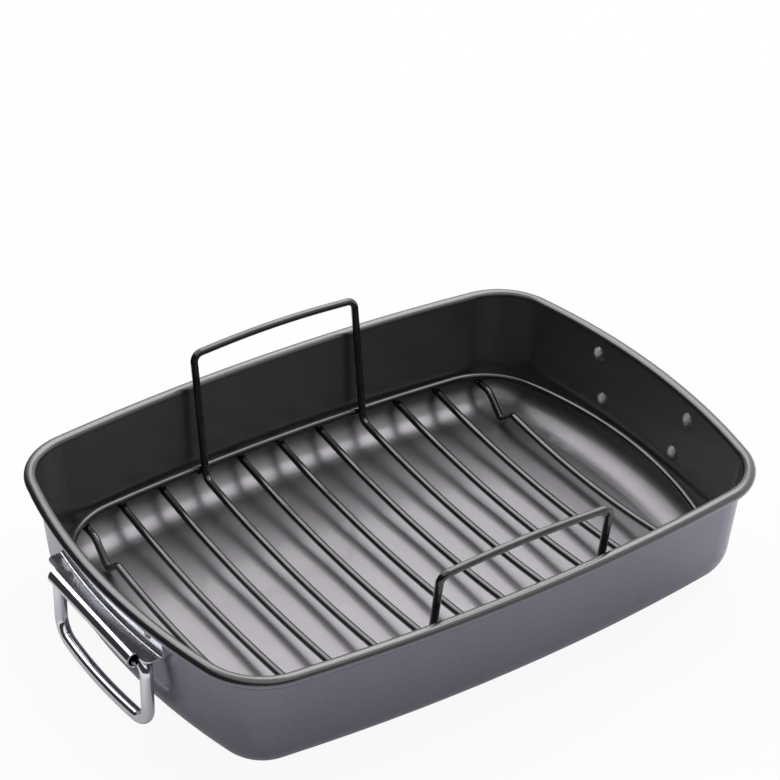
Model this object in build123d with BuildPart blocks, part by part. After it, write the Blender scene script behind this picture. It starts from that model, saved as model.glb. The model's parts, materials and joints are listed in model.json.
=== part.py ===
from build123d import *
import math
import os

# A roasting pan with two drop handles and a loose wire rack, in millimetres.
# The origin is the middle of the flat base, +X runs to the right end, +Z is up.

os.makedirs("parts", exist_ok=True)

# Pan: overall sizes are taken over the rolled rim
pan_length = 420.8
pan_width = 300.6
pan_height = 81.4
rim_corner_radius = 45.2
end_bow = 11.2
side_bow = 9.6
sheet = 1.0
draft_angle = 5.56
cove_radius = 24.0
bead_radius = 4.0
bead_curl_angle = 309.0

# Handle brackets, each bent from one sheet
bracket_sheet = 1.0
bracket_seat_gap = 0.05
bracket_bend = 2.4
flange_below_bead = 1.8
upper_flange_rise = 14.2
upper_flange_corner = 6.0
lower_flange_drop = 26.0
lower_flange_inset = 4.0
lower_flange_corner = 5.0
ear_reach = 8.6
ear_overhang = 3.0
ear_corner_radius = 4.0
roll_length = 95.0
roll_lead = 4.0

# Drop handles of round wire, free to turn in the brackets
bail_wire = 8.0
bail_gap = 0.1
bail_wall_gap = 1.2
bail_shelf_gap = 2.5
bail_side_gap = 1.0
bail_upper_bend = 8.0
bail_lower_bend = 12.0
bail_grip_lead = 2.0
bail_floor_gap = 1.0
bail_bow_angle = 5.2
bail_end_gap = 2.0

# Rivets that hold the brackets
rivet_shank = 4.0
rivet_hole_gap = 0.05
rivet_head = 10.8
rivet_head_height = 2.2
rivet_tail = 6.6
rivet_tail_height = 1.4
rivet_seat_gap = 0.03
upper_rivet_inset = 13.3
upper_rivet_drop = 5.0
lower_rivet_inset = 6.8
lower_rivet_rise = 4.8
hole_overrun = 2.0

# Wire rack, which lies a little off the pan's middle and clears its cove on the near sides
rack_wire = 5.0
rack_shift_x = 1.8
rack_shift_y = 0.8
rack_seat_gap = 0.3
rack_end_gap = 0.6
rack_side_gap = 2.2
weld_sink = 0.2
rack_corner_radius = 51.0
rack_end_rounder = 1.8
rack_side_flatter = 3.6
rack_height = 23.9
cross_count = 11
cross_end_inset = 41.2
cross_sag = 10.2
cross_overhang = 1.0

# Feet bent into the two outer cross wires, each bend placed from the one before it
foot_arc_inset = 63.8
foot_arc_rise = 4.3
foot_shoulder_run = 9.0
foot_shoulder_bend = 4.0
foot_tip_run = 12.0
foot_tip_bend = 3.6
foot_outer_run = 16.0
foot_outer_drop = 0.5
foot_outer_bend = 11.0

# Handles of the rack, one loop of wire with two of the cross wires
handle_cross = 4
handle_arc_inset = 21.8
handle_foot_bend = 7.0
handle_splay = 3.4
handle_above_rim = 28.2
handle_top_bend = 6.0
handle_arch_angle = 3.6
handle_shoulder_run = 19.3
quarter_turn = 90.0

# Worked out from the sizes above
bead_height = pan_height - bead_radius
bead_inner_radius = bead_radius - sheet
bead_offset = rim_corner_radius - bead_radius
frame_length = pan_length / 2 - end_bow - rim_corner_radius
frame_width = pan_width / 2 - side_bow - rim_corner_radius
lean = math.radians(draft_angle)
wall_top = bead_height + bead_radius * math.sin(lean)
base_offset = bead_offset - bead_inner_radius / math.cos(lean) - bead_height * math.tan(lean)
end_radius = (frame_width ** 2 + end_bow ** 2) / (2 * end_bow)
upper_flange_top = pan_height - 2 * bead_radius - flange_below_bead
shelf_height = upper_flange_top - upper_flange_rise
lower_flange_bottom = shelf_height - lower_flange_drop
lower_flange_width = roll_length - 2 * lower_flange_inset
bail_width = roll_length + bail_wire + 2 * bail_side_gap
shelf_width = bail_width + bail_wire + 2 * ear_overhang
upper_rivet_spacing = shelf_width - 2 * upper_rivet_inset
upper_rivet_height = upper_flange_top - upper_rivet_drop
lower_rivet_spacing = lower_flange_width - 2 * lower_rivet_inset
lower_rivet_height = lower_flange_bottom + lower_rivet_rise


def bowed_outline(length, width, long_bow, short_bow, offset):
    """Draw the closed outline whose sides bow outwards between rounded corners."""
    end_radius = (width ** 2 + long_bow ** 2) / (2 * long_bow)
    side_radius = (length ** 2 + short_bow ** 2) / (2 * short_bow)
    end_centre = Vector(length + long_bow - end_radius, 0)
    side_centre = Vector(0, width + short_bow - side_radius)
    corner = Vector(length, width)
    toward_end = (corner - end_centre).normalized()
    toward_side = (corner - side_centre).normalized()
    between = (toward_end + toward_side).normalized()
    first = corner + toward_end * offset
    middle = corner + between * offset
    last = corner + toward_side * offset
    end_tip = length + long_bow + offset
    side_tip = width + short_bow + offset
    for flip_x, flip_y in ((1, 1), (-1, 1), (-1, -1), (1, -1)):
        ThreePointArc(*[(p.X * flip_x, p.Y * flip_y) for p in (first, middle, last)])
    for flip in (1, -1):
        ThreePointArc((first.X * flip, first.Y), (end_tip * flip, 0), (first.X * flip, -first.Y))
        ThreePointArc((last.X, last.Y * flip), (0, side_tip * flip), (-last.X, last.Y * flip))


def wall_block(growth, floor=0, cove=0):
    """Solid inside the wall's outer face, grown by a distance square to that face."""
    start = base_offset + floor * math.tan(lean) + growth / math.cos(lean)
    with BuildPart() as block:
        with BuildSketch(Plane.XY.offset(floor)):
            with BuildLine():
                bowed_outline(frame_length, frame_width, end_bow, side_bow, start)
            make_face()
        extrude(amount=wall_top - floor, taper=-draft_angle)
        if cove:
            fillet(block.faces().sort_by(Axis.Z)[0].edges(), radius=cove)
    return block.part


def wall_reach(height):
    """Distance from the middle out to the end wall's outer face at a height."""
    return frame_length + end_bow + base_offset + height * math.tan(lean)


def cove_reach(height):
    """Distance from the middle out to the inside of the end's cove at a height."""
    inner = cove_radius - sheet
    centre = wall_reach(cove_radius) - cove_radius / math.cos(lean)
    return centre + math.sqrt(inner ** 2 - (cove_radius - height) ** 2)


def wall_seat(end, side, height):
    """Plane on an end wall's outer face that looks straight out of it."""
    radius = end_radius + base_offset + height * math.tan(lean)
    along = math.sqrt(radius ** 2 - side ** 2)
    place = Vector(end * (wall_reach(height) - radius + along), side, height)
    flat = Vector(end * along / radius, side / radius, 0)
    return Plane(origin=place, x_dir=Vector(-flat.Y, flat.X, 0),
                 z_dir=flat * math.cos(lean) - Vector(0, 0, math.sin(lean)))


def circle_point(centre, radius, angle):
    """Place on a circle in its own plane, with the angle in degrees."""
    turn = math.radians(angle)
    return Vector(centre.X + radius * math.cos(turn), centre.Y + radius * math.sin(turn))


def rivet_seats(end):
    """Seats of one end's four rivets, as upper and lower pairs."""
    pairs = ((upper_rivet_spacing, upper_rivet_height), (lower_rivet_spacing, lower_rivet_height))
    return [[wall_seat(end, flip * gap / 2, height) for flip in (-1, 1)] for gap, height in pairs]


def rivet_holes():
    """Cut the rivet holes of both ends out of the part being built."""
    depth = sheet + bracket_seat_gap + bracket_sheet + hole_overrun
    for end in (-1, 1):
        for pair in rivet_seats(end):
            with Locations(*[Location(seat) for seat in pair]):
                Cylinder(rivet_shank / 2 + rivet_hole_gap, depth * 2, mode=Mode.SUBTRACT)


def rivet_pair(seats):
    """Two rivets with domed heads inside the pan and smaller tails on the bracket."""
    inside = -sheet - rivet_seat_gap
    outside = bracket_seat_gap + bracket_sheet + rivet_seat_gap
    with BuildPart() as pair:
        for seat in seats:
            with BuildSketch(Plane(origin=seat.origin, x_dir=seat.x_dir, z_dir=-seat.y_dir)):
                with BuildLine():
                    head = TangentArc((0, inside - rivet_head_height), (rivet_head / 2, inside), tangent=(1, 0))
                    tail = TangentArc((0, outside + rivet_tail_height), (rivet_tail / 2, outside), tangent=(1, 0))
                    Polyline(head @ 1, (rivet_shank / 2, inside), (rivet_shank / 2, outside), tail @ 1)
                    Line(head @ 0, tail @ 0)
                make_face()
            revolve(axis=Axis(seat.origin, seat.z_dir))
    return pair.part


def wire_along(line, diameter):
    """Sweep a round wire along the path of a finished line."""
    path = line.wires()[0]
    with BuildPart() as wire:
        with BuildSketch(Plane(origin=path @ 0, z_dir=path % 0)):
            Circle(diameter / 2)
        sweep(path=path)
    print("wire volume over section times length",
          round(wire.part.volume / (math.pi * diameter ** 2 / 4 * path.length), 4))
    return wire.part


# Curl of the rim, seen across the wall with its middle on the bead's centre line
curl_start = 180 - draft_angle
curl_end = curl_start - bead_curl_angle
curl_middle = (curl_start + curl_end) / 2

pan_form = wall_block(0, 0, cove_radius)
pan_hollow = wall_block(-sheet, sheet, cove_radius - sheet)

# Pan: drafted wall with a round cove to the flat base, hollowed to sheet, and a curled rim
with BuildPart() as pan_shell:
    add(pan_form)
    add(pan_hollow, mode=Mode.SUBTRACT)
    with BuildLine(Plane.XY.offset(bead_height)) as rim_line:
        bowed_outline(frame_length, frame_width, end_bow, side_bow, bead_offset)
    rim_place = Vector(0, frame_width + side_bow + bead_offset, bead_height)
    with BuildSketch(Plane(origin=rim_place, x_dir=(0, 1, 0), z_dir=(1, 0, 0))):
        with BuildLine():
            outer = ThreePointArc(*[circle_point(Vector(), bead_radius, a)
                                    for a in (curl_start, curl_middle, curl_end)])
            inner = ThreePointArc(*[circle_point(Vector(), bead_inner_radius, a)
                                    for a in (curl_start, curl_middle, curl_end)])
            Line(outer @ 0, inner @ 0)
            Line(outer @ 1, inner @ 1)
        make_face()
    sweep(path=rim_line.wires()[0])
    rivet_holes()
pan_shell.part.label = "pan_shell"
export_step(pan_shell.part, "parts/pan_shell.step")

# Place of the handle's axis, and of the bracket's front roll, which is as wide inside
bail_reach = bail_wire / 2 + bail_wall_gap
bail_height = shelf_height - bracket_sheet - bail_shelf_gap - bail_wire / 2
bail_place = Vector(wall_reach(bail_height) + bail_reach, bail_height)
roll_inner = bail_wire / 2 + bail_gap
roll_outer = roll_inner + bracket_sheet
roll_place = Vector(wall_reach(shelf_height) + bail_reach + roll_lead, shelf_height - roll_outer)
roll_slope = math.degrees(math.atan2(roll_place.Y - bail_place.Y, roll_place.X - bail_place.X))
roll_end = roll_slope - quarter_turn
roll_angles = (quarter_turn, roll_end / 2, roll_end)
inward = wall_seat(1, shelf_width / 2, 0).origin.X


def fold_profile():
    """Draw the sheet's section: shelf, front roll and the part under the handle's wire."""
    back = (roll_place.X - inward) / math.cos(math.radians(roll_slope))
    step = circle_point(Vector(), -back, roll_slope)
    outer = ThreePointArc(*[circle_point(roll_place, roll_outer, a) for a in roll_angles])
    inner = ThreePointArc(*[circle_point(roll_place, roll_inner, a) for a in roll_angles])
    Polyline(outer @ 0, (inward, shelf_height), (inward, shelf_height - bracket_sheet), inner @ 0)
    Polyline(outer @ 1, outer @ 1 + step, inner @ 1 + step, inner @ 1)


under_height = roll_place.Y - (roll_place.X - wall_reach(bail_place.Y)) * math.tan(math.radians(roll_slope))
lower_flange_top = under_height - roll_inner / math.cos(math.radians(roll_slope))

flange_form = wall_block(bracket_seat_gap + bracket_sheet)
seat_form = wall_block(bracket_seat_gap)

# Flanges of a bracket, cut out of a skin that follows the bowed wall
with BuildPart() as flanges:
    with BuildSketch(Plane.YZ.offset(frame_length)):
        with BuildLine():
            Polyline((-shelf_width / 2, shelf_height - bracket_sheet), (-shelf_width / 2, upper_flange_top),
                     (shelf_width / 2, upper_flange_top), (shelf_width / 2, shelf_height - bracket_sheet),
                     close=True)
        upper = make_face()
        fillet(upper.vertices().group_by(Axis.Y)[-1], radius=upper_flange_corner)
        with BuildLine():
            Polyline((-lower_flange_width / 2, lower_flange_bottom), (-lower_flange_width / 2, lower_flange_top),
                     (lower_flange_width / 2, lower_flange_top), (lower_flange_width / 2, lower_flange_bottom),
                     close=True)
        lower = make_face()
        fillet(lower.vertices().group_by(Axis.Y)[0], radius=lower_flange_corner)
    extrude(amount=pan_length / 2 - frame_length)
    add(flange_form, mode=Mode.INTERSECT)

# Right bracket: shelf with its ears, front roll and the sheet that runs back under the handle
with BuildPart() as right_bracket:
    with BuildSketch(Plane.XZ):
        with BuildLine():
            fold_profile()
        make_face()
    extrude(amount=roll_length / 2, both=True)
    with BuildSketch(Plane.XZ):
        with BuildLine():
            Polyline((inward, 0), (roll_place.X, 0), (roll_place.X, roll_place.Y), (inward, roll_place.Y), close=True)
        make_face()
    extrude(amount=roll_length / 2, both=True, mode=Mode.SUBTRACT)
    with BuildSketch(Plane.XZ):
        with BuildLine():
            fold_profile()
        make_face()
    extrude(amount=lower_flange_width / 2, both=True)
    with BuildSketch(Plane.XY.offset(shelf_height)):
        with BuildLine():
            Polyline((inward, -shelf_width / 2), (wall_reach(shelf_height) + ear_reach, -shelf_width / 2),
                     (wall_reach(shelf_height) + ear_reach, shelf_width / 2), (inward, shelf_width / 2), close=True)
        shelf = make_face()
        fillet(shelf.vertices().group_by(Axis.X)[-1], radius=ear_corner_radius)
    extrude(amount=-bracket_sheet)
    add(flanges.part)
    add(seat_form, mode=Mode.SUBTRACT)
    bend = right_bracket.edges().filter_by_position(Axis.Z, shelf_height - bracket_seat_gap,
                                                    shelf_height + bracket_seat_gap)
    fillet(bend.filter_by(lambda edge: edge.length > shelf_width - bracket_sheet), radius=bracket_bend)
    rivet_holes()
right_bracket.part.label = "right_bracket"
export_step(right_bracket.part, "parts/right_bracket.step")
with BuildPart() as left_bracket:
    mirror(right_bracket.part, about=Plane.YZ)
left_bracket.part.label = "left_bracket"
export_step(left_bracket.part, "parts/left_bracket.step")

# Rivets, in pairs at the same height
for end, end_name in ((-1, "left"), (1, "right")):
    for seats, pair_name in zip(rivet_seats(end), ("upper", "lower")):
        rivets = rivet_pair(seats)
        rivets.label = f"{end_name}_{pair_name}_rivets"
        export_step(rivets, f"parts/{rivets.label}.step")

# Right handle: a half swept as a wire and mirrored, with its two ends hidden in the bracket
bail_low = bail_floor_gap + bail_wire / 2
bow = math.radians(bail_bow_angle)
bow_way = Vector(math.sin(bow), -math.cos(bow), 0)
with BuildLine() as bail_line:
    hinge_start = Vector(bail_place.X, bail_end_gap / 2, bail_place.Y)
    hinge_corner = Vector(bail_place.X, bail_width / 2, bail_place.Y)
    low_corner = Vector(bail_place.X, bail_width / 2, bail_low)
    grip_start = low_corner + bow_way * (bail_lower_bend + bail_grip_lead)
    grip_middle = Vector(grip_start.X + grip_start.Y * math.tan(bow / 2), 0, bail_low)
    FilletPolyline(hinge_start, hinge_corner, low_corner, grip_start, radius=(bail_upper_bend, bail_lower_bend))
    TangentArc(grip_start, grip_middle, tangent=bow_way)
bail_half = wire_along(bail_line, bail_wire)
with BuildPart() as right_bail:
    add(bail_half)
    mirror(about=Plane.XZ)
right_bail.part.label = "right_bail"
export_step(right_bail.part, "parts/right_bail.step")
with BuildPart() as left_bail:
    mirror(right_bail.part, about=Plane.YZ)
left_bail.part.label = "left_bail"
export_step(left_bail.part, "parts/left_bail.step")

# Rack: the outer wire follows its own bowed outline, a little inside the pan's cove
pan_lead = frame_length + end_bow - frame_width - side_bow
cove_inside = cove_reach(rack_height - rack_wire / 2)
rack_reach_x = cove_inside - rack_end_gap - rack_shift_x
rack_reach_y = cove_inside - pan_lead - rack_side_gap - rack_shift_y
rack_end_bow = end_bow + rack_end_rounder
rack_side_bow = side_bow - rack_side_flatter
rack_frame_length = rack_reach_x - rack_end_bow - rack_corner_radius
rack_frame_width = rack_reach_y - rack_side_bow - rack_corner_radius
rack_offset = rack_corner_radius - rack_wire / 2
rack_middle = Vector(rack_shift_x, rack_shift_y, 0)
cross_end_height = rack_height - rack_wire + weld_sink
cross_low = cross_end_height - cross_sag
cross_pitch = 2 * (rack_reach_x - cross_end_inset) / (cross_count - 1)


def rack_edge(x):
    """Distance from the rack's middle out to its outer wire's centre line, at a cross wire."""
    side = (rack_frame_length ** 2 + rack_side_bow ** 2) / (2 * rack_side_bow)
    last = rack_frame_length * (side + rack_offset) / side
    if abs(x) <= last:
        return rack_frame_width + rack_side_bow - side + math.sqrt((side + rack_offset) ** 2 - x ** 2)
    return rack_frame_width + math.sqrt(rack_offset ** 2 - (abs(x) - rack_frame_length) ** 2)


def cross_place(number):
    """Distance of a cross wire from the rack's middle."""
    return (number - (cross_count + 1) / 2) * cross_pitch


def cross_plane(number):
    """Upright plane of a cross wire, with Y across the pan and Z up."""
    return Plane(origin=rack_middle + Vector(cross_place(number), 0, 0), x_dir=(0, 1, 0), z_dir=(1, 0, 0))


with BuildLine(Plane(origin=rack_middle + Vector(0, 0, rack_height))) as outer_line:
    bowed_outline(rack_frame_length, rack_frame_width, rack_end_bow, rack_side_bow, rack_offset)
outer_wire = wire_along(outer_line, rack_wire)
outer_wire.label = "rack_outer_wire"
export_step(outer_wire, "parts/rack_outer_wire.step")

# Plain cross wires sag a little between their welds under the outer wire
feet = (1, cross_count)
handle_wires = (handle_cross, cross_count + 1 - handle_cross)
for number in range(1, cross_count + 1):
    if number in feet + handle_wires:
        continue
    reach = rack_edge(cross_place(number)) + cross_overhang
    with BuildLine(cross_plane(number)) as cross_line:
        ThreePointArc((-reach, cross_end_height), (0, cross_low), (reach, cross_end_height))
    cross_wire = wire_along(cross_line, rack_wire)
    cross_wire.label = f"rack_cross_wire_{number}"
    export_step(cross_wire, f"parts/{cross_wire.label}.step")


def sag_middle(run, rise):
    """Halfway place of an arc that leaves the level and reaches a rise after a run."""
    turn = 2 * math.atan2(rise, run)
    radius = run / math.sin(turn)
    return radius * math.sin(turn / 2), radius * (1 - math.cos(turn / 2))


# The two end wires dip to the base near each end, which makes the rack's four feet
foot_arc_place = rack_reach_y - foot_arc_inset
foot_turn = 2 * math.atan2(foot_arc_rise, foot_arc_place)
foot_low = sheet + rack_seat_gap + rack_wire / 2
half_run, half_rise = sag_middle(foot_arc_place, foot_arc_rise)
for number in feet:
    reach = rack_edge(cross_place(number)) + cross_overhang
    arc_end = (foot_arc_place, cross_low + foot_arc_rise)
    shoulder_rise = foot_shoulder_run * math.tan(foot_turn)
    shoulder = (foot_arc_place + foot_shoulder_run, cross_low + foot_arc_rise + shoulder_rise)
    tip = (shoulder[0] + foot_tip_run, foot_low)
    outer = (tip[0] + foot_outer_run, cross_end_height - foot_outer_drop)
    with BuildLine(cross_plane(number)) as foot_line:
        ThreePointArc((0, cross_low), (half_run, cross_low + half_rise), arc_end)
        FilletPolyline(arc_end, shoulder, tip, outer, (reach, cross_end_height),
                       radius=(foot_shoulder_bend, foot_tip_bend, foot_outer_bend))
    foot_half = wire_along(foot_line, rack_wire)
    with BuildPart() as foot_wire:
        add(foot_half)
        mirror(about=Plane.XZ.offset(-rack_shift_y))
    foot_wire.part.label = f"rack_foot_wire_{number}"
    export_step(foot_wire.part, f"parts/rack_foot_wire_{number}.step")

# The handles and two cross wires are one loop, swept as a quarter and mirrored twice
handle_x = cross_place(handle_cross)
handle_edge = rack_edge(handle_x)
handle_inside = handle_edge - rack_wire + weld_sink
handle_arc_place = rack_reach_y - handle_arc_inset
handle_bar_place = rack_reach_y + handle_splay
handle_bar_height = pan_height + handle_above_rim
handle_arch_half = -handle_x - handle_shoulder_run
handle_lean = (handle_bar_place - handle_inside) / (handle_bar_height - rack_height)
leg_way = Vector(0, handle_lean, 1).normalized()
arc_rise = cross_sag * (handle_arc_place / handle_edge) ** 2
arc_turn = 2 * math.atan2(arc_rise, handle_arc_place)
arc_end = Vector(handle_x, handle_arc_place, cross_low + arc_rise)
foot_y = handle_inside + handle_lean * (arc_end.Z - handle_arc_place * math.tan(arc_turn) - rack_height)
foot_y = foot_y / (1 - handle_lean * math.tan(arc_turn))
leg_foot = Vector(handle_x, foot_y, arc_end.Z + (foot_y - handle_arc_place) * math.tan(arc_turn))
arc_half_run, arc_half_rise = sag_middle(handle_arc_place, arc_rise)
arch = math.radians(handle_arch_angle)
arch_rise = handle_arch_half * math.tan(arch / 2)
arch_half_run, arch_half_rise = sag_middle(handle_arch_half, arch_rise)
bar_middle = Vector(0, handle_bar_place, handle_bar_height)
arch_half = bar_middle - leg_way * arch_half_rise - Vector(arch_half_run, 0, 0)
arch_start = bar_middle - leg_way * arch_rise - Vector(handle_arch_half, 0, 0)
leg_top = arch_start - Vector(handle_shoulder_run, 0, 0) - leg_way * (handle_shoulder_run * math.tan(arch))
with BuildLine(Plane(origin=rack_middle)) as handle_line:
    ThreePointArc((handle_x, 0, cross_low), (handle_x, arc_half_run, cross_low + arc_half_rise), tuple(arc_end))
    FilletPolyline(tuple(arc_end), tuple(leg_foot), tuple(leg_top), tuple(arch_start),
                   radius=(handle_foot_bend, handle_top_bend))
    ThreePointArc(tuple(arch_start), tuple(arch_half), tuple(bar_middle))
handle_quarter = wire_along(handle_line, rack_wire)
with BuildPart() as handle_wire:
    add(handle_quarter)
    mirror(about=Plane.XZ.offset(-rack_shift_y))
    mirror(about=Plane.YZ.offset(rack_shift_x))
handle_wire.part.label = "rack_handle_wire"
export_step(handle_wire.part, "parts/rack_handle_wire.step")
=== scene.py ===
"""Finishes, weld detail, studio and camera for a roasting pan with a loose wire rack."""

import json
import logging
import math
import random
from dataclasses import dataclass
from enum import Enum

import bpy
from mathutils import Matrix, Vector


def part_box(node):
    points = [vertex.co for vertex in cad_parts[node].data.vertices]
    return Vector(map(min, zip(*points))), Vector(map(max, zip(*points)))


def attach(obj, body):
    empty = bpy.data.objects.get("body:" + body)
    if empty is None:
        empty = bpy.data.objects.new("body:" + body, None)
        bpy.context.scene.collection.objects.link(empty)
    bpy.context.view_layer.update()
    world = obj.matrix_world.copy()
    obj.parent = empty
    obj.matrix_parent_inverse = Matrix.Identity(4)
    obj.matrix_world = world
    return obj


log = logging.getLogger("roasting_pan")
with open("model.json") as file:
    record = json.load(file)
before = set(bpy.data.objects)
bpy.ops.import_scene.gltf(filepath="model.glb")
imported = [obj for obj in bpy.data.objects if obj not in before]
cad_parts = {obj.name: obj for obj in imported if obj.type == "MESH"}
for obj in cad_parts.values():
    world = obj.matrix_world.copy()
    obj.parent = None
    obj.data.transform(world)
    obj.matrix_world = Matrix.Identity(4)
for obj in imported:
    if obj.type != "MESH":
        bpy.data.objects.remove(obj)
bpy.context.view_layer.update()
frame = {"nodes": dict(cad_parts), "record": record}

Socket = bpy.types.NodeSocket
Colour = tuple[float, float, float, float]
Triple = tuple[float, float, float]
Steps = tuple[tuple[float, float], ...]

MM = 0.001
ACROSS = (1.0, 0.0, 0.0)
UP = (0.0, 0.0, 1.0)
NOISE_LOW = 0.3
NOISE_HIGH = 0.7
SIDES = ((1, "rear"), (-1, "front"))
HANDS = ((-1, "left"), (1, "right"))


class Slot(Enum):
    """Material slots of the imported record."""

    PAN = "pan_enamel"
    BRACKET = "bracket_steel"
    BAIL = "handle_chrome"
    RIVET = "rivet_steel"
    RACK = "rack_black"


@dataclass(frozen=True)
class Shade:
    """A colour as linear red, green and blue."""

    red: float
    green: float
    blue: float

    def rgba(self, factor: float = 1.0) -> Colour:
        """Return the colour times a factor, with full alpha.

        Args:
            factor: How much lighter or darker the colour gets.

        Returns:
            Red, green, blue and alpha.
        """
        return (self.red * factor, self.green * factor, self.blue * factor, 1.0)


WHITE = Shade(1.0, 1.0, 1.0)
BLACK = Shade(0.0, 0.0, 0.0)


def clear_selection() -> None:
    """Deselect every object."""
    bpy.ops.object.select_all(action="DESELECT")


def empty_material(name: str) -> bpy.types.Material:
    """Make a material that has no nodes yet.

    Args:
        name: The material's name.

    Returns:
        The material.
    """
    material = bpy.data.materials.new(name)
    material.use_nodes = True
    material.node_tree.nodes.clear()
    return material


class NodeDesk:
    """Lays out nodes in one node tree."""

    def __init__(self, tree: bpy.types.NodeTree) -> None:
        """Work on a node tree."""
        self.tree = tree

    def add(self, kind: str, **settings: object) -> bpy.types.Node:
        """Add a node and set its properties.

        Args:
            kind: Blender's name of the node type.
            settings: Properties of the node by name.

        Returns:
            The new node.
        """
        node = self.tree.nodes.new(kind)
        for key, value in settings.items():
            setattr(node, key, value)
        return node

    def join(self, source: Socket | float | tuple[float, ...], target: Socket) -> None:
        """Link an output to an input, or give the input a constant.

        Args:
            source: The output or the constant.
            target: The input.
        """
        if isinstance(source, Socket):
            self.tree.links.new(source, target)
        else:
            target.default_value = source

    def calculate(self, operation: str, *values: Socket | float) -> Socket:
        """Work out a value from others.

        Args:
            operation: Blender's name of the sum.
            values: The values in the sum's order.

        Returns:
            The result.
        """
        node = self.add("ShaderNodeMath", operation=operation)
        for value, target in zip(values, node.inputs):
            self.join(value, target)
        return node.outputs["Value"]

    def along(self, vector: Socket, way: Triple | Socket) -> Socket:
        """Measure a vector along a direction.

        Args:
            vector: The vector.
            way: The direction.

        Returns:
            The vector's length that way.
        """
        node = self.add("ShaderNodeVectorMath", operation="DOT_PRODUCT")
        self.join(vector, node.inputs[0])
        self.join(way, node.inputs[1])
        return node.outputs["Value"]

    def spread(
        self, value: Socket, low: float, high: float, start: float = 0.0, end: float = 1.0
    ) -> Socket:
        """Map a value from one range to another, and keep it there.

        Args:
            value: The value.
            low: Result at the start.
            high: Result at the end.
            start: Where the value's range starts.
            end: Where it ends.

        Returns:
            The mapped value.
        """
        node = self.add("ShaderNodeMapRange", clamp=True)
        node.inputs["From Min"].default_value = start
        node.inputs["From Max"].default_value = end
        node.inputs["To Min"].default_value = low
        node.inputs["To Max"].default_value = high
        self.join(value, node.inputs["Value"])
        return node.outputs["Result"]

    def pick(self, factor: Socket, first: Socket | float, second: Socket | float) -> Socket:
        """Go from one value to another.

        Args:
            factor: 0 for the first value and 1 for the second.
            first: The first value.
            second: The second value.

        Returns:
            The mixed value.
        """
        node = self.add("ShaderNodeMix")
        self.join(factor, node.inputs["Factor"])
        self.join(first, node.inputs["A"])
        self.join(second, node.inputs["B"])
        return node.outputs["Result"]

    def blend(self, factor: Socket, first: Socket | Colour, second: Socket | Colour) -> Socket:
        """Go from one colour to another.

        Args:
            factor: 0 for the first colour and 1 for the second.
            first: The first colour.
            second: The second colour.

        Returns:
            The mixed colour.
        """
        node = self.add("ShaderNodeMix", data_type="RGBA")
        colours = [socket for socket in node.inputs if socket.type == "RGBA"]
        self.join(first, colours[0])
        self.join(second, colours[1])
        self.join(factor, node.inputs[0])
        return next(socket for socket in node.outputs if socket.type == "RGBA")

    def cover(self, factor: Socket, below: Socket, above: Socket) -> Socket:
        """Lay one surface over another.

        Args:
            factor: How far the upper surface hides the lower one, from 0 to 1.
            below: The lower surface.
            above: The upper surface.

        Returns:
            The mixed surface.
        """
        node = self.add("ShaderNodeMixShader")
        for source, target in zip((factor, below, above), node.inputs):
            self.join(source, target)
        return node.outputs["Shader"]


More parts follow.
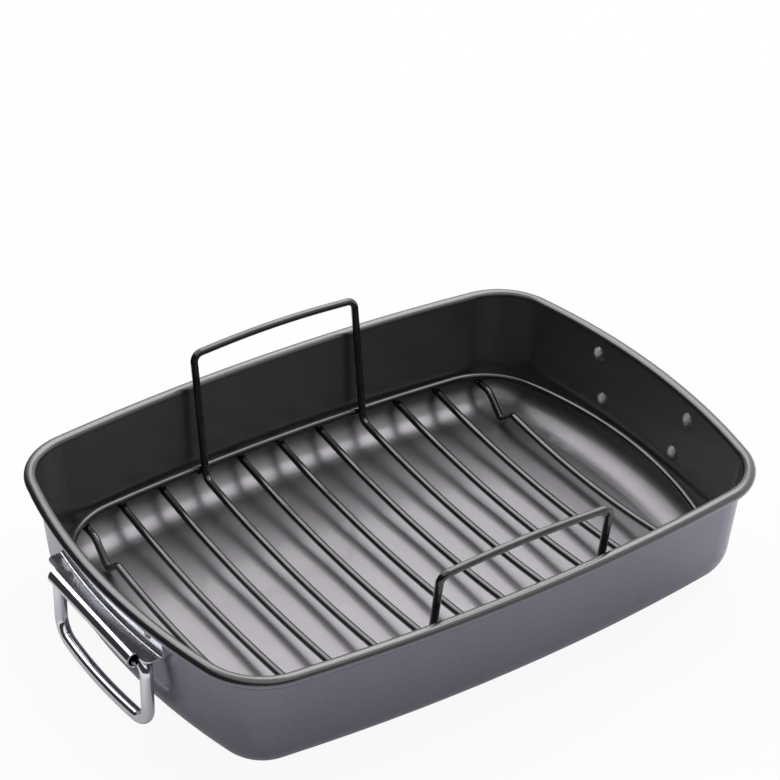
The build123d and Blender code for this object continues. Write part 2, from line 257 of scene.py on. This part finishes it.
class NodeBench(NodeDesk):
    """Lays out the nodes of one material around its Principled shader."""

    def __init__(self, name: str) -> None:
        """Start a material.

        Args:
            name: The material's name.
        """
        self.material = empty_material(name)
        super().__init__(self.material.node_tree)
        self.shader = self.add("ShaderNodeBsdfPrincipled")
        output = self.add("ShaderNodeOutputMaterial")
        self.join(self.shader.outputs["BSDF"], output.inputs["Surface"])
        coordinates = self.add("ShaderNodeTexCoord")
        self.place = coordinates.outputs["Object"]
        self.face = coordinates.outputs["Normal"]

    def paint(self, colour: Socket, dullness: Socket, constants: dict[str, float]) -> None:
        """Give the shader its colour, its roughness and its constant values.

        Args:
            colour: The base colour.
            dullness: The roughness.
            constants: Values of further sockets by name.
        """
        self.join(colour, self.shader.inputs["Base Color"])
        self.join(dullness, self.shader.inputs["Roughness"])
        for socket, value in constants.items():
            self.shader.inputs[socket].default_value = value

    def relief(self, *layers: tuple[Socket, float]) -> None:
        """Raise the surface by patterns, one after the other.

        Args:
            layers: Pairs of a pattern and its height in metres.
        """
        normal = None
        for pattern, height in layers:
            node = self.add("ShaderNodeBump")
            node.inputs["Distance"].default_value = height
            self.join(pattern, node.inputs["Height"])
            if normal:
                self.join(normal, node.inputs["Normal"])
            normal = node.outputs["Normal"]
        self.join(normal, self.shader.inputs["Normal"])

    def stretched(self, scale: Triple) -> Socket:
        """Return the object's place, stretched along the axes.

        Args:
            scale: Factors along X, Y and Z.

        Returns:
            The stretched coordinates.
        """
        mapping = self.add("ShaderNodeMapping")
        mapping.inputs["Scale"].default_value = scale
        self.join(self.place, mapping.inputs["Vector"])
        return mapping.outputs["Vector"]

    def noise(self, scale: float, detail: float, place: Socket | None = None) -> Socket:
        """Add a noise pattern.

        Args:
            scale: Cells per metre.
            detail: Octaves of finer noise.
            place: Coordinates, or the object's own place.

        Returns:
            The pattern as a factor.
        """
        node = self.add("ShaderNodeTexNoise")
        node.inputs["Scale"].default_value = scale
        node.inputs["Detail"].default_value = detail
        self.join(place or self.place, node.inputs["Vector"])
        return node.outputs["Fac"]

    def flakes(self, scale: float) -> Socket:
        """Add a pattern of flakes, each with its own value.

        Args:
            scale: Flakes per metre.

        Returns:
            The flakes' values.
        """
        node = self.add("ShaderNodeTexVoronoi", feature="F1")
        node.inputs["Scale"].default_value = scale
        self.join(self.place, node.inputs["Vector"])
        split = self.add("ShaderNodeSeparateColor")
        self.join(node.outputs["Color"], split.inputs["Color"])
        return split.outputs["Red"]

    def spread_noise(self, pattern: Socket, low: float, high: float) -> Socket:
        """Map a noise pattern, whose values crowd round the middle, to a range."""
        return self.spread(pattern, low, high, NOISE_LOW, NOISE_HIGH)

    def tinted(self, pattern: Socket, colour: Shade, dark: float, light: float = 1.0) -> Socket:
        """Vary a colour by a noise pattern.

        Args:
            pattern: The noise pattern.
            colour: The colour.
            dark: Factor of the colour at its darkest.
            light: Factor of the colour at its lightest.

        Returns:
            The varied colour.
        """
        return self.blend(self.spread_noise(pattern, 0.0, 1.0), colour.rgba(dark), colour.rgba(light))

    def facing_out(self, lift: float = 30 * MM, edge: float = 4 * MM) -> Socket:
        """Tell the outside of an open vessel round the origin from its inside.

        Args:
            lift: How strongly level faces count, in metres.
            edge: Half width of the change between the two.

        Returns:
            1 on the outside and underside, and 0 on the inside.
        """
        level = self.add("ShaderNodeVectorMath", operation="MULTIPLY")
        level.inputs[1].default_value = (1.0, 1.0, 0.0)
        self.join(self.place, level.inputs[0])
        lowered = self.add("ShaderNodeVectorMath", operation="SUBTRACT")
        lowered.inputs[1].default_value = (0.0, 0.0, lift)
        self.join(level.outputs["Vector"], lowered.inputs[0])
        return self.spread(self.along(lowered.outputs["Vector"], self.face), 0.0, 1.0, -edge, edge)

    def above(self, height: float, edge: float = 1 * MM) -> Socket:
        """Tell what lies above a height.

        Args:
            height: The height in metres.
            edge: Over how much the change goes.

        Returns:
            1 above the height, and 0 below it.
        """
        return self.spread(self.along(self.place, UP), 0.0, 1.0, height, height + edge)

    def beyond(self, reach: float, edge: float) -> Socket:
        """Tell what lies further out along X, on either side.

        Args:
            reach: The distance from the middle in metres.
            edge: Over how much the change goes.

        Returns:
            1 further out, and 0 nearer the middle.
        """
        distance = self.calculate("ABSOLUTE", self.along(self.place, ACROSS))
        return self.spread(distance, 0.0, 1.0, reach, reach + edge)

    def leaning(self, angle: float) -> Socket:
        """Measure how far the surface faces along X, on either side, and somewhat up.

        Args:
            angle: The upward angle of the direction in degrees.

        Returns:
            1 where the surface faces that way, and less elsewhere.
        """
        across = self.calculate("ABSOLUTE", self.along(self.face, ACROSS))
        level = self.calculate("MULTIPLY", across, math.cos(math.radians(angle)))
        raised = self.calculate("MULTIPLY", self.along(self.face, UP), math.sin(math.radians(angle)))
        return self.calculate("ADD", level, raised)


@dataclass(frozen=True)
class BakedCoat:
    """Dark baked coating with fine metal flakes: dull inside, cool, glossy and painted lighter outside,
    painted shade on the rim.
    """

    name: str
    inside: Shade
    outside: Shade
    painted_shade_rim: Shade
    rim_height: float = 77.4 * MM
    metallic: float = 0.87
    inside_dull: float = 0.38
    outside_dull: float = 0.28
    dull_change: float = 0.04
    dull_scale: float = 55.0
    dull_detail: float = 5.0
    contrast_limit: float = 0.5
    flake_contrast: float = 0.10
    flake_scale: float = 3200.0
    flake_height: float = 0.0008 * MM
    cloud_contrast: float = 0.04
    cloud_scale: float = 9.0
    cloud_detail: float = 4.0
    peel_scale: float = 420.0
    peel_detail: float = 3.0
    peel_height: float = 0.008 * MM
    top_coat: float = 0.4
    top_roughness: float = 0.12

    def colour(self, bench: NodeBench) -> Socket:
        """Mix the three colours, with flakes and faint clouds.

        Args:
            bench: The material's nodes.

        Returns:
            The colour.
        """
        flakes = bench.spread(bench.flakes(self.flake_scale), -self.flake_contrast, self.flake_contrast)
        clouds = bench.spread_noise(
            bench.noise(self.cloud_scale, self.cloud_detail), -self.cloud_contrast, self.cloud_contrast
        )
        limit = self.contrast_limit
        shade = bench.spread(bench.calculate("ADD", flakes, clouds), 0.0, 1.0, -limit, limit)
        # The three colours are copies of one coating: the outside's lighter tone is painted light and the
        # rim's darker tone is painted shade.
        inside, outside, painted_shade_rim = (
            bench.blend(shade, colour.rgba(1.0 - limit), colour.rgba(1.0 + limit))
            for colour in (self.inside, self.outside, self.painted_shade_rim)
        )
        body = bench.blend(bench.facing_out(), inside, outside)
        return bench.blend(bench.above(self.rim_height), body, painted_shade_rim)

    def dullness(self, bench: NodeBench) -> Socket:
        """Mix the roughness of the inside with that of the outside and the rim.

        Args:
            bench: The material's nodes.

        Returns:
            The roughness.
        """
        uneven = bench.noise(self.dull_scale, self.dull_detail)
        inside, outside = (
            bench.spread_noise(uneven, level - self.dull_change / 2, level + self.dull_change / 2)
            for level in (self.inside_dull, self.outside_dull)
        )
        body = bench.pick(bench.facing_out(), inside, outside)
        return bench.pick(bench.above(self.rim_height), body, outside)

    def material(self) -> bpy.types.Material:
        """Lay out the coating's nodes.

        Returns:
            The material.
        """
        bench = NodeBench(self.name)
        bench.paint(
            self.colour(bench),
            self.dullness(bench),
            {"Metallic": self.metallic, "Coat Weight": self.top_coat, "Coat Roughness": self.top_roughness},
        )
        bench.relief(
            (bench.noise(self.peel_scale, self.peel_detail), self.peel_height),
            (bench.flakes(self.flake_scale), self.flake_height),
        )
        return bench.material


@dataclass(frozen=True)
class WireEnamel:
    """Black glossy enamel over wire, slightly uneven where it ran."""

    name: str
    colour: Shade
    metallic: float = 0.85
    gloss: float = 0.14
    dull: float = 0.22
    patch_scale: float = 70.0
    patch_detail: float = 5.0
    patch_dark: float = 0.7
    patch_light: float = 1.3
    run_scale: float = 160.0
    run_detail: float = 2.0
    run_height: float = 0.02 * MM
    top_coat: float = 1.0
    top_roughness: float = 0.08

    def material(self) -> bpy.types.Material:
        """Lay out the enamel's nodes.

        Returns:
            The material.
        """
        bench = NodeBench(self.name)
        patches = bench.noise(self.patch_scale, self.patch_detail)
        bench.paint(
            bench.tinted(patches, self.colour, self.patch_dark, self.patch_light),
            bench.spread_noise(patches, self.gloss, self.dull),
            {"Metallic": self.metallic, "Coat Weight": self.top_coat, "Coat Roughness": self.top_roughness},
        )
        bench.relief((bench.noise(self.run_scale, self.run_detail), self.run_height))
        return bench.material


@dataclass(frozen=True)
class RolledSheet:
    """Bright rolled sheet steel with fine lines along its rolling direction."""

    name: str
    colour: Shade
    gloss: float
    dull: float
    grain: Triple
    metallic: float = 1.0
    line_detail: float = 6.0
    line_dulling: float = 0.03
    line_height: float = 0.002 * MM
    smudge_scale: float = 38.0
    smudge_detail: float = 4.0
    smudge_dark: float = 0.9

    def dullness(self, bench: NodeBench, smudges: Socket) -> Socket:
        """Map the smudges to a roughness."""
        return bench.spread_noise(smudges, self.gloss, self.dull)

    def tint(self, bench: NodeBench, smudges: Socket) -> Socket:
        """Map the smudges to a colour."""
        return bench.tinted(smudges, self.colour, self.smudge_dark)

    def material(self) -> bpy.types.Material:
        """Lay out the sheet's nodes.

        Returns:
            The material.
        """
        bench = NodeBench(self.name)
        lines = bench.noise(1.0, self.line_detail, bench.stretched(self.grain))
        smudges = bench.noise(self.smudge_scale, self.smudge_detail)
        line_dullness = bench.spread_noise(lines, -self.line_dulling, self.line_dulling)
        dullness = bench.calculate("ADD", line_dullness, self.dullness(bench, smudges))
        bench.paint(self.tint(bench, smudges), dullness, {"Metallic": self.metallic})
        bench.relief((lines, self.line_height))
        return bench.material


@dataclass(frozen=True)
class BurnishedSheet(RolledSheet):
    """Sheet with a satin shelf and flanges, burnished where the outer edge was rolled."""

    satin: float = 0.22
    satin_change: float = 0.08
    reach: float = 210 * MM
    edge: float = 1.5 * MM

    def dullness(self, bench: NodeBench, smudges: Socket) -> Socket:
        """Go from the satin shelf to the burnished roll.

        Args:
            bench: The material's nodes.
            smudges: The pattern of smudges.

        Returns:
            The roughness.
        """
        shelf = bench.spread_noise(smudges, self.satin, self.satin + self.satin_change)
        return bench.pick(bench.beyond(self.reach, self.edge), shelf, super().dullness(bench, smudges))


@dataclass(frozen=True)
class RivetWithPaintedHighlight(RolledSheet):
    """Rivet metal with a painted highlight on the upper middle of the head and painted shade towards its
    edge.
    """

    highlight_angle: float = 20.0
    highlight_start: float = 0.84
    highlight_end: float = 1.0
    painted_edge_shade: float = 0.15
    mottle_scale: float = 420.0
    mottle_detail: float = 3.0
    mottle_contrast: float = 0.3

    def tint(self, bench: NodeBench, smudges: Socket) -> Socket:
        """Go from the painted shade at the edge to the painted highlight in the middle, with mottles instead
        of smudges.

        Args:
            bench: The material's nodes.
            smudges: The pattern of smudges, which this metal leaves out.

        Returns:
            The colour.
        """
        # Painted highlight where the head faces out and somewhat up, and painted shade towards its edge.
        lean = bench.leaning(self.highlight_angle)
        painted_highlight = bench.spread(lean, 0.0, 1.0, self.highlight_start, self.highlight_end)
        pattern = bench.noise(self.mottle_scale, self.mottle_detail)
        mottles = bench.spread_noise(pattern, -self.mottle_contrast, self.mottle_contrast)
        painted_highlight_and_mottles = bench.calculate("ADD", painted_highlight, mottles)
        return bench.blend(painted_highlight_and_mottles, self.colour.rgba(self.painted_edge_shade), self.colour.rgba())


@dataclass(frozen=True)
class PlatedWire:
    """Polished plating over drawn wire, with faint waves and handling marks."""

    name: str
    colour: Shade
    gloss: float
    dull: float
    smudge_scale: float = 90.0
    smudge_detail: float = 6.0
    smudge_dark: float = 0.92
    wave_scale: float = 130.0
    wave_detail: float = 1.0
    wave_height: float = 0.02 * MM

    def material(self) -> bpy.types.Material:
        """Lay out the plating's nodes.

        Returns:
            The material.
        """
        bench = NodeBench(self.name)
        smudges = bench.noise(self.smudge_scale, self.smudge_detail)
        bench.paint(
            bench.tinted(smudges, self.colour, self.smudge_dark),
            bench.spread_noise(smudges, self.gloss, self.dull),
            {"Metallic": 1.0},
        )
        bench.relief((bench.noise(self.wave_scale, self.wave_detail), self.wave_height))
        return bench.material


@dataclass
class FrameDresser:
    """Gives every CAD node the finish of its material slot."""

    finishes: dict[Slot, bpy.types.Material]

    def dress(self) -> None:
        """Put the finishes into the nodes' material slots."""
        for row in frame["record"]["subparts"]:
            node = frame["nodes"][row["node"]]
            finish = self.finishes[Slot(row["material_slot"])]
            node.data.materials.clear()
            node.data.materials.append(finish)
            for polygon in node.data.polygons:
                polygon.material_index = 0
            log.info("%s has %s", node.name, finish.name)


@dataclass
class RackDetail:
    """Rounded wire ends and weld fillets of the rack, where its wires meet the outer wire.

    The steps are pairs of a rise in millimetres and a change of width, from the foot of a piece up.
    """

    finish: bpy.types.Material
    wire: float = 5.0 * MM
    overhang: float = 1.0 * MM
    end_slope: float = 0.9
    segments: int = 24
    smooth_angle: float = 50.0
    tip_steps: Steps = ((0.16, 0.97), (0.16, 0.92), (0.13, 0.84), (0.08, 0.7))
    weld_steps: Steps = ((0.35, 0.82), (0.3, 0.88), (0.25, 1.0), (0.3, 1.136), (0.35, 1.22))
    weld_radius: float = 2.3 * MM
    weld_change: float = 0.08
    seed: int = 11

    def turned_piece(self, name: str, radius: float, steps: Steps) -> bpy.types.Object:
        """Model a round piece on the XY plane by drawing a disc up in steps.

        Args:
            name: The piece's name.
            radius: Radius of the disc.
            steps: The piece's steps.

        Returns:
            The piece.
        """
        clear_selection()
        bpy.ops.mesh.primitive_circle_add(vertices=self.segments, radius=radius, fill_type="NGON")
        piece = bpy.context.active_object
        piece.name = name
        bpy.ops.object.mode_set(mode="EDIT")
        bpy.ops.mesh.select_all(action="SELECT")
        for rise, width in steps:
            bpy.ops.mesh.extrude_region_move(TRANSFORM_OT_translate={"value": (0.0, 0.0, rise * MM)})
            bpy.ops.transform.resize(value=(width, width, 1.0), center_override=(0.0, 0.0, 0.0))
        bpy.ops.mesh.select_all(action="SELECT")
        bpy.ops.mesh.normals_make_consistent(inside=False)
        bpy.ops.object.mode_set(mode="OBJECT")
        bpy.ops.object.shade_smooth_by_angle(angle=math.radians(self.smooth_angle))
        return piece

    def placed_copy(
        self, model: bpy.types.Object, name: str, place: Vector, way: Vector, size: float = 1.0
    ) -> None:
        """Copy a piece to its place on the rack.

        Args:
            model: The piece that is copied.
            name: The copy's name.
            place: Where its foot goes.
            way: Where its axis points.
            size: How much larger it gets.
        """
        piece = model.copy()
        piece.data = model.data.copy()
        piece.name = name
        bpy.context.scene.collection.objects.link(piece)
        turn = Vector(UP).rotation_difference(way).to_matrix().to_4x4()
        scale = Matrix.Diagonal((size, size, size, 1.0))
        piece.data.transform(Matrix.Translation(place) @ turn @ scale)
        piece.data.materials.append(self.finish)
        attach(piece, "rack")
        log.info("built %s", name)

    def end_face(self, node: str, side: int) -> tuple[Vector, Vector]:
        """Find the flat end of a cross wire.

        Args:
            node: Name of the wire's CAD node.
            side: 1 for the rear end and -1 for the front.

        Returns:
            The middle of the face and the way it faces.
        """
        wire = frame["nodes"][node]
        faces = [face for face in wire.data.polygons if face.normal.y * side > self.end_slope]
        reach = max(face.center.y * side for face in faces)
        flat = [face for face in faces if face.center.y * side > reach - self.wire / 2]
        area = sum(face.area for face in flat)
        middle = sum((face.center * face.area for face in flat), Vector()) / area
        way = sum((face.normal * face.area for face in flat), Vector())
        return wire.matrix_world @ middle, way.normalized()

    def leg_contact(self, hand: int, side: int) -> Vector:
        """Find where a leg of a rack handle touches the outer wire.

        Args:
            hand: 1 for the right leg and -1 for the left.
            side: 1 for the rear handle and -1 for the front.

        Returns:
            The point on the outer wire's inner side.
        """
        outer = frame["nodes"]["rack_outer_wire"]
        low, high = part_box("rack_outer_wire")
        leg = hand * (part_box("rack_handle_wire")[1].x - self.wire / 2)
        start = outer.matrix_world.inverted() @ Vector((leg, 0.0, (low.z + high.z) / 2))
        found, place, _, _ = outer.ray_cast(start, Vector((0.0, side, 0.0)))
        assert found, "the outer wire isn't beside the leg"
        return outer.matrix_world @ place

    def place_weld(
        self, model: bpy.types.Object, name: str, contact: Vector, way: Vector, chance: random.Random
    ) -> None:
        """Place a weld with its middle on the point where two wires touch.

        Args:
            model: The weld that is copied.
            name: The copy's name.
            contact: The point where the wires touch.
            way: The way from the one wire to the other.
            chance: Source of the small differences in size.
        """
        size = 1.0 + chance.uniform(-self.weld_change, self.weld_change)
        depth = sum(rise for rise, _ in self.weld_steps) * MM
        self.placed_copy(model, name, contact - way * (depth * size / 2), way, size)

    def build(self) -> None:
        """Build the tips and welds of every wire that meets the outer wire."""
        tip = self.turned_piece("wire_tip_model", self.wire / 2, self.tip_steps)
        weld = self.turned_piece("weld_model", self.weld_radius, self.weld_steps)
        chance = random.Random(self.seed)
        for node in sorted(name for name in frame["nodes"] if name.startswith(("rack_cross", "rack_foot"))):
            number = node.rsplit("_", 1)[1]
            for side, end in SIDES:
                middle, way = self.end_face(node, side)
                self.placed_copy(tip, f"wire_tip_{number}_{end}", middle, way)
                up = Vector((0.0, -way.z * side, way.y * side))
                contact = middle - way * self.overhang + up * (self.wire / 2)
                self.place_weld(weld, f"weld_{number}_{end}", contact, up, chance)
        for hand, leg in HANDS:
            for side, end in SIDES:
                contact, way = self.leg_contact(hand, side), Vector((0.0, side, 0.0))
                self.place_weld(weld, f"weld_{leg}_leg_{end}", contact, way, chance)
        for model in (tip, weld):
            bpy.data.objects.remove(model)


@dataclass(frozen=True)
class Softbox:
    """Soft lamp with a flat white face."""

    name: str
    place: Triple
    size: tuple[float, float]
    painted_highlight_and_mottles: float

    def hang(self, target: Triple) -> None:
        """Hang the lamp, with a brightness where 1 shows its face as white.

        Args:
            target: What it points at.
        """
        data = bpy.data.lights.new(self.name, "AREA")
        data.shape = "RECTANGLE"
        width, height = self.size
        data.size, data.size_y = width, height
        data.energy = self.painted_highlight_and_mottles * math.pi * width * height
        lamp = bpy.data.objects.new(self.name, data)
        bpy.context.scene.collection.objects.link(lamp)
        lamp.location = self.place
        lamp.rotation_euler = (Vector(target) - Vector(self.place)).to_track_quat("-Z", "Y").to_euler()
        lamp.visible_camera = False
        log.info("hung %s", self.name)


@dataclass
class Studio:
    """White table and background, soft lamps, and the partly dark room that polished metal mirrors."""

    table_size: float = 8.0
    table_white: float = 0.9
    camera_glow: float = 0.93
    mirror_glow: float = 0.18
    dark_floor: Triple = (-0.80, 0.60, 0.0)
    dark_start: float = 0.25
    dark_end: float = 0.30
    dark_cover: float = 0.95
    sky_level: float = 0.22
    room_dark: float = 0.04
    room_white: float = 1.0
    white_side: Triple = (0.97, 0.24, 0.0)
    white_start: float = -0.1
    white_end: float = 0.7
    room_above: float = 0.95
    above_start: float = 0.42
    above_end: float = 0.60
    dark_side: Triple = (-0.953, 0.302, 0.0)
    dark_lift: float = 0.40
    softboxes: tuple[Softbox, ...] = (
        Softbox("back_softbox", (0.05, 1.24, 1.46), (2.4, 1.0), 2.2),
        Softbox("top_softbox", (0.88, 0.20, 1.60), (1.5, 1.5), 2.8),
    )
    target: Triple = (0.0, 0.0, 0.05)

    def rays(self, desk: NodeDesk) -> tuple[Socket, Socket]:
        """Tell rays that show the background from rays that light the object.

        Args:
            desk: The nodes that ask.

        Returns:
            1 for camera rays, and 1 for mirrored and transmitted rays.
        """
        path = desk.add("ShaderNodeLightPath").outputs
        mirrored = desk.calculate("MAXIMUM", path["Is Glossy Ray"], path["Is Transmission Ray"])
        return path["Is Camera Ray"], mirrored

    def table_surface(self, desk: NodeDesk) -> Socket:
        """Lay out the table's surface, which keeps a pale shadow.

        Args:
            desk: The table's nodes.

        Returns:
            Matte white, lifted to the background's white for the camera and dark at the far left in mirrors.
        """
        white, black = (desk.add("ShaderNodeBsdfDiffuse") for _ in range(2))
        desk.join(WHITE.rgba(self.table_white), white.inputs["Color"])
        desk.join(BLACK.rgba(), black.inputs["Color"])
        glow = desk.add("ShaderNodeEmission")
        desk.join(WHITE.rgba(), glow.inputs["Color"])
        seen, mirrored = self.rays(desk)
        glowing = desk.calculate(
            "MAXIMUM",
            desk.spread(seen, 0.0, self.camera_glow),
            desk.spread(mirrored, 0.0, self.mirror_glow),
        )
        lifted = desk.cover(glowing, white.outputs["BSDF"], glow.outputs["Emission"])
        distance = desk.along(desk.add("ShaderNodeTexCoord").outputs["Object"], self.dark_floor)
        far = desk.spread(distance, 0.0, self.dark_cover, self.dark_start, self.dark_end)
        return desk.cover(desk.calculate("MULTIPLY", far, mirrored), lifted, black.outputs["BSDF"])

    def table(self) -> None:
        """Lay the white table."""
        clear_selection()
        bpy.ops.mesh.primitive_plane_add(size=self.table_size, location=(0, 0, 0))
        table = bpy.context.active_object
        table.name = "table"
        material = empty_material("white_table")
        desk = NodeDesk(material.node_tree)
        desk.join(self.table_surface(desk), desk.add("ShaderNodeOutputMaterial").inputs["Surface"])
        table.data.materials.append(material)

    def room(self, desk: NodeDesk) -> Socket:
        """Lay out the room as polished metal shows it.

        Args:
            desk: The world's nodes.

        Returns:
            White low down at the back and right, dark low down elsewhere, and bright above.
        """
        way = desk.add("ShaderNodeTexCoord").outputs["Generated"]
        turned = desk.along(way, self.white_side)
        around = desk.spread(turned, self.room_dark, self.room_white, self.white_start, self.white_end)
        lift = desk.spread(desk.along(way, self.dark_side), 0.0, self.dark_lift)
        height = desk.calculate("SUBTRACT", desk.along(way, UP), lift)
        above = desk.spread(height, 0.0, 1.0, self.above_start, self.above_end)
        return desk.pick(above, around, self.room_above)

    def sky(self) -> None:
        """Make a white background, which lights the object only softly."""
        world = bpy.data.worlds.new("white_room")
        world.use_nodes = True
        bpy.context.scene.world = world
        desk = NodeDesk(world.node_tree)
        background = world.node_tree.nodes["Background"]
        desk.join(WHITE.rgba(), background.inputs["Color"])
        seen, mirrored = self.rays(desk)
        light = desk.pick(mirrored, self.sky_level, self.room(desk))
        desk.join(desk.calculate("MAXIMUM", seen, light), background.inputs["Strength"])

    def build(self) -> None:
        """Set up the table, the background and the lamps."""
        self.table()
        self.sky()
        for softbox in self.softboxes:
            softbox.hang(self.target)
        log.info("studio is set up")


@dataclass
class PhotoCamera:
    """Camera at the photograph's place, angle and lens."""

    place: Triple = (-0.79296, -1.13440, 1.06294)
    yaw: float = -34.870
    pitch: float = -33.801
    roll: float = 1.228
    lens: float = 126.74
    sensor: float = 36.0

    def build(self) -> None:
        """Set up the camera and make it the scene's own."""
        yaw, pitch, roll = (math.radians(angle) for angle in (self.yaw, self.pitch, self.roll))
        ahead = Vector((-math.sin(yaw) * math.cos(pitch), math.cos(yaw) * math.cos(pitch), math.sin(pitch)))
        level = Vector((math.cos(yaw), math.sin(yaw), 0))
        upright = level.cross(ahead)
        right = level * math.cos(roll) + upright * math.sin(roll)
        up = upright * math.cos(roll) - level * math.sin(roll)
        data = bpy.data.cameras.new("photo_camera")
        data.lens = self.lens
        data.sensor_width = self.sensor
        camera = bpy.data.objects.new("photo_camera", data)
        bpy.context.scene.collection.objects.link(camera)
        turn = Matrix((right, up, -ahead)).transposed().to_4x4()
        camera.matrix_world = Matrix.Translation(self.place) @ turn
        bpy.context.scene.camera = camera
        bpy.context.scene.view_settings.view_transform = "Standard"
        log.info("camera is set up")


def make_finishes() -> dict[Slot, bpy.types.Material]:
    """Make the finish of every material slot.

    Returns:
        The materials by slot.
    """
    makers = {
        Slot.PAN: BakedCoat(
            "pan_coating",
            inside=Shade(0.185, 0.176, 0.188),
            # The outside is bluer than the inside and also set lighter as painted light; the rim is set
            # darker as painted shade.
            outside=Shade(0.222, 0.213, 0.272),
            painted_shade_rim=Shade(0.115, 0.114, 0.117),
        ),
        Slot.RACK: WireEnamel("rack_enamel", Shade(0.046, 0.044, 0.048)),
        Slot.BRACKET: BurnishedSheet(
            "bracket_sheet", Shade(0.82, 0.83, 0.88), gloss=0.08, dull=0.13, grain=(300.0, 12.0, 300.0)
        ),
        Slot.BAIL: PlatedWire("bail_plating", Shade(0.90, 0.91, 0.96), gloss=0.03, dull=0.08),
        # The rivet colour carries a painted highlight and painted shade at the head's edge.
        Slot.RIVET: RivetWithPaintedHighlight(
            "rivet_metal",
            Shade(0.88, 0.87, 0.88),
            gloss=0.25,
            dull=0.35,
            grain=(900.0, 900.0, 900.0),
            metallic=0.25,
        ),
    }
    return {slot: maker.material() for slot, maker in makers.items()}


def main() -> None:
    """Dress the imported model, add the rack's detail and set up the studio."""
    logging.basicConfig(level=logging.INFO, format="%(name)s: %(message)s")
    finishes = make_finishes()
    PhotoCamera().build()
    FrameDresser(finishes).dress()
    RackDetail(finishes[Slot.RACK]).build()
    Studio().build()


if __name__ == "__main__":
    main()
